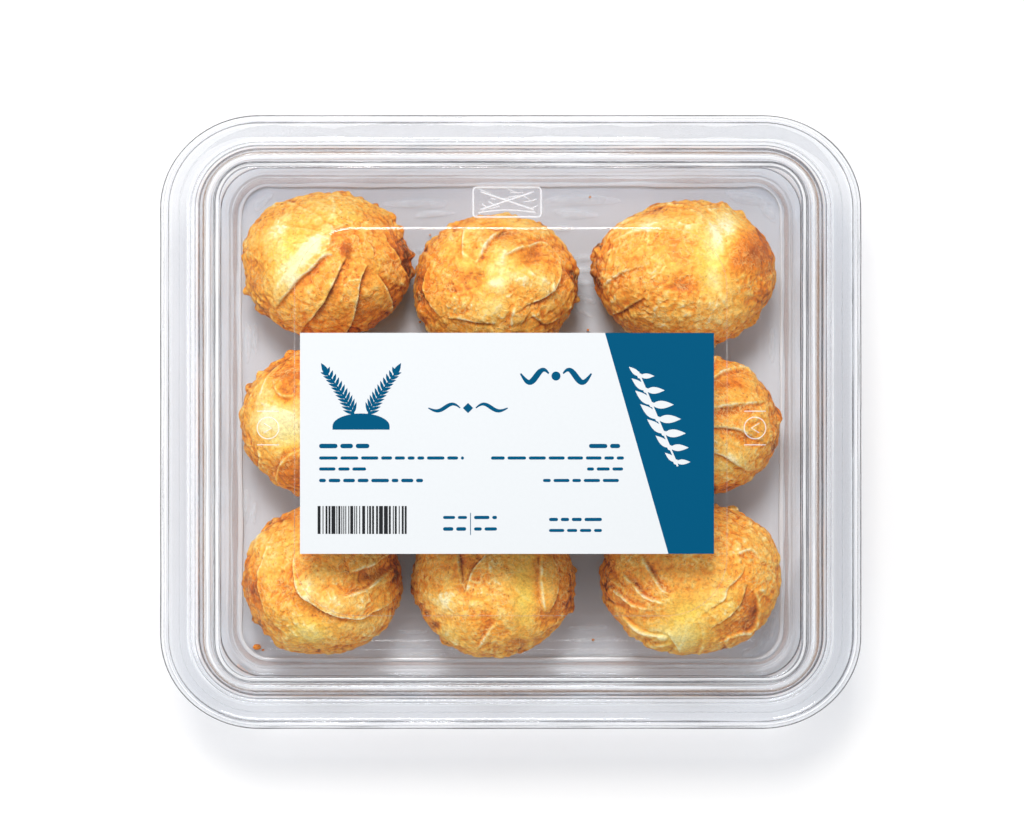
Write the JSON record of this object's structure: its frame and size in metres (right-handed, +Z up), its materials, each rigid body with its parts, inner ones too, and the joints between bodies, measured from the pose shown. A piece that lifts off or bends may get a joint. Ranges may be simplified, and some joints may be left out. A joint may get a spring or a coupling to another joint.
{
  "type": "clear pack of piped choux buns",
  "caption": "Shut clear plastic tray and press-fit lid holding rows of round piped choux buns, with a paper label on the lid.",
  "frame": {"origin": "middle of the pack, on the underside of the tray", "axes": "+X along the pack's long side, +Y towards the side with the small crossed tab, +Z up through the lid"},
  "size_m": [0.24, 0.21, 0.0591],
  "materials": {
    "clear_plastic": "clear thermoformed sheet, glossy, slightly grey along its folds",
    "label_paper": "smooth coated paper label, white with a deep teal field",
    "golden_crust": "baked choux crust, golden with paler folds and browned edges, fibrous and matt"
  },
  "bodies": {
    "root": {"tray": "clear_plastic", "lid": "clear_plastic", "label": "label_paper", "bun_1": "golden_crust", "bun_2": "golden_crust", "bun_3": "golden_crust", "bun_4": "golden_crust", "bun_5": "golden_crust", "bun_6": "golden_crust", "bun_7": "golden_crust", "bun_8": "golden_crust", "bun_9": "golden_crust"}
  },
  "joints": []
}
